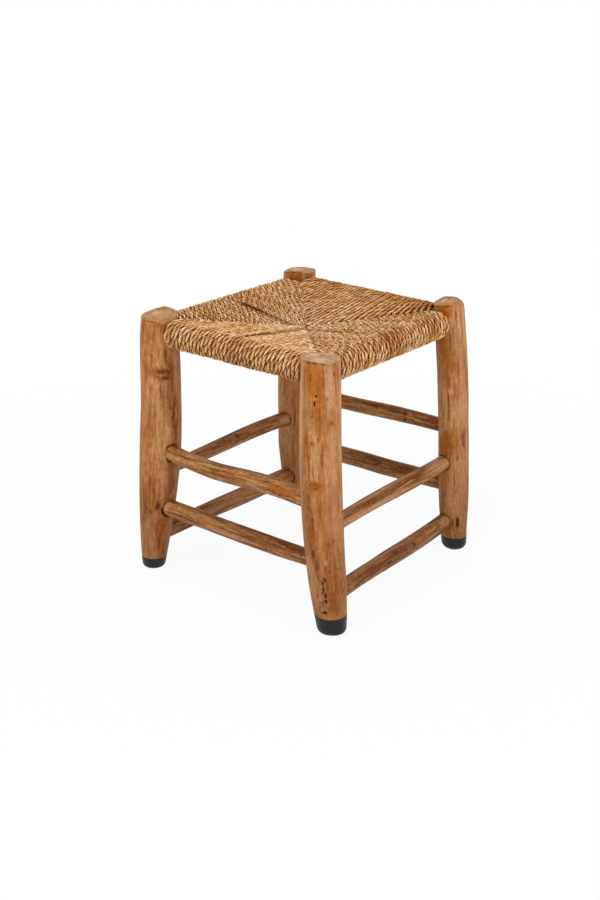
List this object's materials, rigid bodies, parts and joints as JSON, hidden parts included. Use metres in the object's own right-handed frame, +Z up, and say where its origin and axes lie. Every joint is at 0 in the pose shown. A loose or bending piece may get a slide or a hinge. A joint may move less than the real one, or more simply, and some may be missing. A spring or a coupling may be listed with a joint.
{
  "type": "rush-seated branch stool",
  "caption": "Low square stool of debarked branch legs with black foot caps, whittled stretchers in two rows and a seat wound from twisted palm-leaf cord in four mitred panels",
  "frame": {"origin": "on the floor, under the middle of the whole stool's bounding box", "axes": "+Z up; -Y is the side between the two front legs, +X the side to its right"},
  "size_m": [0.4264, 0.4326, 0.4568],
  "materials": {
    "leg_wood": "debarked branch, smoothed and lightly waxed, with streaks, knots and worm marks",
    "stretcher_wood": "whittled stick, lightly waxed",
    "rail_wood": "raw whittled stick, hidden under the cord",
    "palm_cord": "two-ply twisted dry palm-leaf cord",
    "foot_rubber": "black, half gloss"
  },
  "bodies": {
    "root": {"leg_front_left": "leg_wood", "foot_cap_front_left": "foot_rubber", "leg_front_right": "leg_wood", "foot_cap_front_right": "foot_rubber", "leg_back_right": "leg_wood", "foot_cap_back_right": "foot_rubber", "leg_back_left": "leg_wood", "foot_cap_back_left": "foot_rubber", "stretcher_front_upper": "stretcher_wood", "stretcher_front_lower": "stretcher_wood", "stretcher_right_upper": "stretcher_wood", "stretcher_right_lower": "stretcher_wood", "stretcher_back_upper": "stretcher_wood", "stretcher_back_lower": "stretcher_wood", "stretcher_left_upper": "stretcher_wood", "stretcher_left_lower": "stretcher_wood", "seat_rail_front": "rail_wood", "seat_rail_right": "rail_wood", "seat_rail_back": "rail_wood", "seat_rail_left": "rail_wood", "woven_seat": "palm_cord"}
  },
  "joints": []
}
